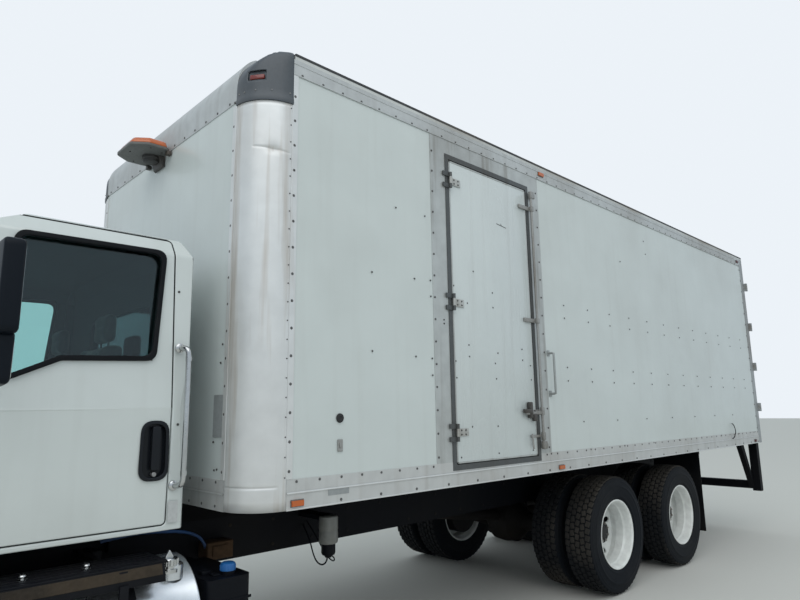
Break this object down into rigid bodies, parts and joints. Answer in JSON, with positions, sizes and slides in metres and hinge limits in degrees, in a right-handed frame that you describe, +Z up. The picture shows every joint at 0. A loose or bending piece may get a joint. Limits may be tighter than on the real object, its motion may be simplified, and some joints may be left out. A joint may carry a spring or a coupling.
{
  "type": "box-body truck with a bonneted day cab",
  "caption": "Three-axle truck with a bonneted day cab and a long white dry-freight box body with a side door and rear swing doors.",
  "frame": {"origin": "bottom centre of the overall box, on the floor under the wheels", "axes": "+X forward along the truck, +Y to the driver's left, +Z up"},
  "size_m": [10.8, 2.9, 3.7319],
  "materials": {
    "black_steel": "satin black chassis paint, dusty",
    "engine": "dark cast block",
    "bumper_steel": "painted steel bumper",
    "white_paint": "gloss white cab paint",
    "wheel_paint": "white painted steel wheels, dusty",
    "tyre": "black rubber, dusty",
    "glass": "clear cab glass",
    "lamp_lens": "clear headlamp lens",
    "black_plastic": "grained black plastic",
    "cab_trim": "dark grey cab trim",
    "seat_cloth": "grey seat cloth",
    "tank_aluminium": "brushed round fuel tank",
    "painted_box": "dark painted box and exhaust",
    "canister_white": "white canister",
    "floor_wood": "laminated floor boards on steel sills",
    "mill_aluminium": "mill finish extrusions, stained",
    "white_panel": "white pre-painted panels",
    "cap_composite": "charcoal moulded caps",
    "rear_steel": "grey rear frame",
    "guard_steel": "black underride guard",
    "flap_rubber": "black rubber flaps",
    "amber_lens": "amber and red lenses",
    "beacon_grey": "grey beacon housing",
    "chrome_bar": "chrome bars"
  },
  "bodies": {
    "chassis": {"beacon": "beacon_grey", "body_floor": "floor_wood", "bottom_rails": "mill_aluminium", "cab_glass": "glass", "cab_interior": "cab_trim", "cab_shell": "white_paint", "cab_steps": "black_plastic", "chassis_frame": "black_steel", "corner_caps": "cap_composite", "corner_posts": "mill_aluminium", "drive_axles": "black_steel", "engine_block": "engine", "exhaust": "painted_box", "filter_canister": "canister_white", "fluid_tank": "black_plastic", "front_axle": "black_steel", "front_bumper": "bumper_steel", "front_wall": "white_panel", "fuel_tank": "tank_aluminium", "grab_handles": "chrome_bar", "left_wall": "white_panel", "marker_lamps": "amber_lens", "mud_flaps": "flap_rubber", "rear_frame": "rear_steel", "right_side_box": "painted_box", "right_wall": "white_panel", "roof": "white_panel", "seats": "seat_cloth", "side_door_frame": "mill_aluminium", "top_rails": "mill_aluminium", "underride_guard": "guard_steel"},
    "hood": {"hood": "white_paint", "grille": "black_plastic", "headlamps": "lamp_lens"},
    "cab_door_left": {"cab_door_left": "white_paint", "door_glass_left": "glass", "mirror_left": "black_plastic"},
    "cab_door_right": {"cab_door_right": "white_paint", "door_glass_right": "glass", "mirror_right": "black_plastic"},
    "steer_left": {"knuckle_left": "black_steel"},
    "steer_right": {"knuckle_right": "black_steel"},
    "tie_rod": {"tie_rod": "black_steel"},
    "steering_wheel": {"steering_wheel": "cab_trim"},
    "front_wheel_left": {"front_tyre_left": "tyre", "front_rim_left": "wheel_paint"},
    "front_wheel_right": {"front_tyre_right": "tyre", "front_rim_right": "wheel_paint"},
    "mid_wheels_left": {"mid_tyres_left": "tyre", "mid_rims_left": "wheel_paint"},
    "mid_wheels_right": {"mid_tyres_right": "tyre", "mid_rims_right": "wheel_paint"},
    "rear_wheels_left": {"rear_tyres_left": "tyre", "rear_rims_left": "wheel_paint"},
    "rear_wheels_right": {"rear_tyres_right": "tyre", "rear_rims_right": "wheel_paint"},
    "side_door": {"side_door": "white_panel"},
    "rear_door_left": {"rear_door_left": "white_panel"},
    "rear_door_right": {"rear_door_right": "white_panel"}
  },
  "joints": [
    {"name": "hood_tilt", "type": "hinge", "parent": "chassis", "child": "hood", "pos_m": [5.3, 0, 0.7], "axis": [0, 1, 0], "range_deg": [0, 60]},
    {"name": "cab_door_left_swing", "type": "hinge", "parent": "chassis", "child": "cab_door_left", "pos_m": [3.713, 1.036, 1.6], "axis": [0, 0, -1], "range_deg": [0, 70]},
    {"name": "cab_door_right_swing", "type": "hinge", "parent": "chassis", "child": "cab_door_right", "pos_m": [3.713, -1.036, 1.6], "axis": [0, 0, 1], "range_deg": [0, 70]},
    {"name": "steer_left", "type": "hinge", "parent": "chassis", "child": "steer_left", "pos_m": [4.37, 0.9, 0.505], "axis": [0, 0, 1], "range_deg": [-35, 35]},
    {"name": "steer_right", "type": "hinge", "parent": "chassis", "child": "steer_right", "pos_m": [4.37, -0.9, 0.505], "axis": [0, 0, 1], "range_deg": [-35, 35]},
    {"name": "tie_rod_end", "type": "hinge", "parent": "steer_left", "child": "tie_rod", "pos_m": [4.19, 0.9, 0.387], "axis": [0, 0, 1], "range_deg": [-35, 35]},
    {"name": "hand_wheel", "type": "hinge", "parent": "chassis", "child": "steering_wheel", "pos_m": [3.45, 0.43, 1.8], "axis": [-0.5299, 0, 0.848], "range_deg": [-430, 430]},
    {"name": "spin_front_left", "type": "hinge", "parent": "steer_left", "child": "front_wheel_left", "pos_m": [4.37, 1.03, 0.505], "axis": [0, 1, 0], "continuous": true},
    {"name": "spin_front_right", "type": "hinge", "parent": "steer_right", "child": "front_wheel_right", "pos_m": [4.37, -1.03, 0.505], "axis": [0, 1, 0], "continuous": true},
    {"name": "spin_mid_left", "type": "hinge", "parent": "chassis", "child": "mid_wheels_left", "pos_m": [-1.3925, 0.9135, 0.505], "axis": [0, 1, 0], "continuous": true},
    {"name": "spin_mid_right", "type": "hinge", "parent": "chassis", "child": "mid_wheels_right", "pos_m": [-1.3925, -0.9135, 0.505], "axis": [0, 1, 0], "continuous": true},
    {"name": "spin_rear_left", "type": "hinge", "parent": "chassis", "child": "rear_wheels_left", "pos_m": [-2.7935, 0.9135, 0.505], "axis": [0, 1, 0], "continuous": true},
    {"name": "spin_rear_right", "type": "hinge", "parent": "chassis", "child": "rear_wheels_right", "pos_m": [-2.7935, -0.9135, 0.505], "axis": [0, 1, 0], "continuous": true},
    {"name": "side_door_swing", "type": "hinge", "parent": "chassis", "child": "side_door", "pos_m": [0.874, 1.315, 2.34], "axis": [0, 0, -1], "range_deg": [0, 175]},
    {"name": "rear_door_left_swing", "type": "hinge", "parent": "chassis", "child": "rear_door_left", "pos_m": [-5.39, 1.32, 2.4], "axis": [0, 0, -1], "range_deg": [0, 270]},
    {"name": "rear_door_right_swing", "type": "hinge", "parent": "chassis", "child": "rear_door_right", "pos_m": [-5.39, -1.32, 2.4], "axis": [0, 0, 1], "range_deg": [0, 270]}
  ],
  "couplings": [
    {"joint": "steer_right", "follows": "steer_left", "ratio": 1},
    {"joint": "tie_rod_end", "follows": "steer_left", "ratio": -1},
    {"joint": "hand_wheel", "follows": "steer_left", "ratio": 12}
  ]
}
